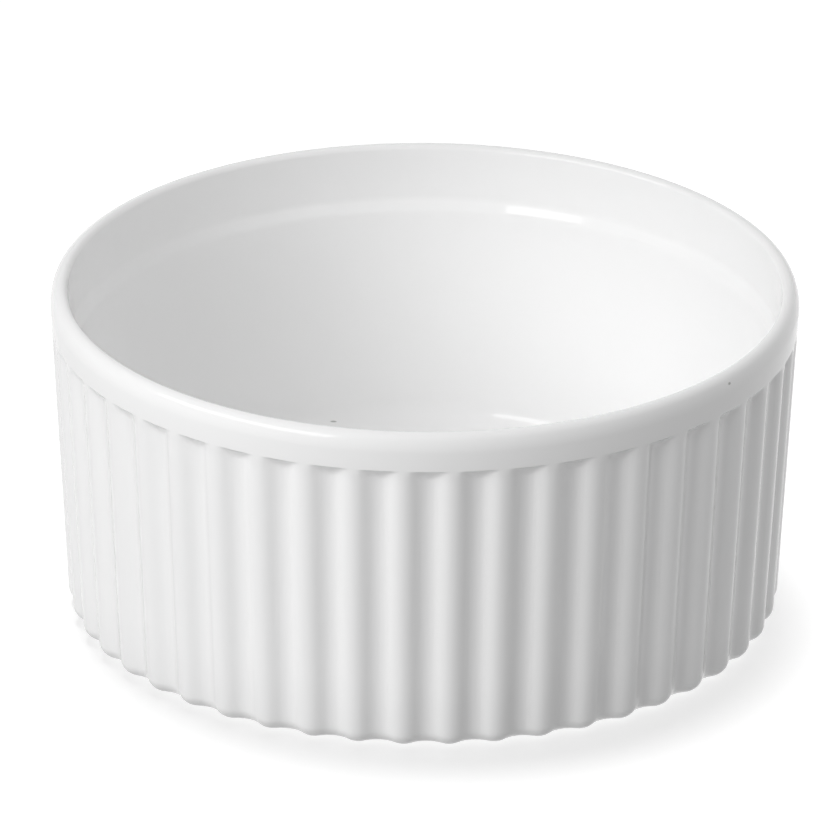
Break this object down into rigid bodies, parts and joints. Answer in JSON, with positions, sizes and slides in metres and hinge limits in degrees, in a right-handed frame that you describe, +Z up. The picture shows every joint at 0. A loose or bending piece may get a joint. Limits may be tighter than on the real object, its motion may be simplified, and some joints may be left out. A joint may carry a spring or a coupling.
{
  "type": "ramekin",
  "caption": "Round fluted white porcelain ramekin with a plain band under the lip, a ledge inside, a flat floor and a bare foot ring.",
  "frame": {"origin": "centre of the foot ring, on the plane that the dish stands on", "axes": "+Z up along the axis of the dish; a rib crest lies at +X"},
  "size_m": [0.1199, 0.1198, 0.0552],
  "materials": {
    "bisque_porcelain": "bare fired clay, matte and finely gritty, on the foot ring",
    "white_glaze": "glossy white glaze, slightly wavy, with a few pinholes"
  },
  "bodies": {
    "root": {"porcelain_body": "bisque_porcelain", "glaze_coat": "white_glaze", "foot_recess_glaze": "white_glaze"}
  },
  "joints": []
}
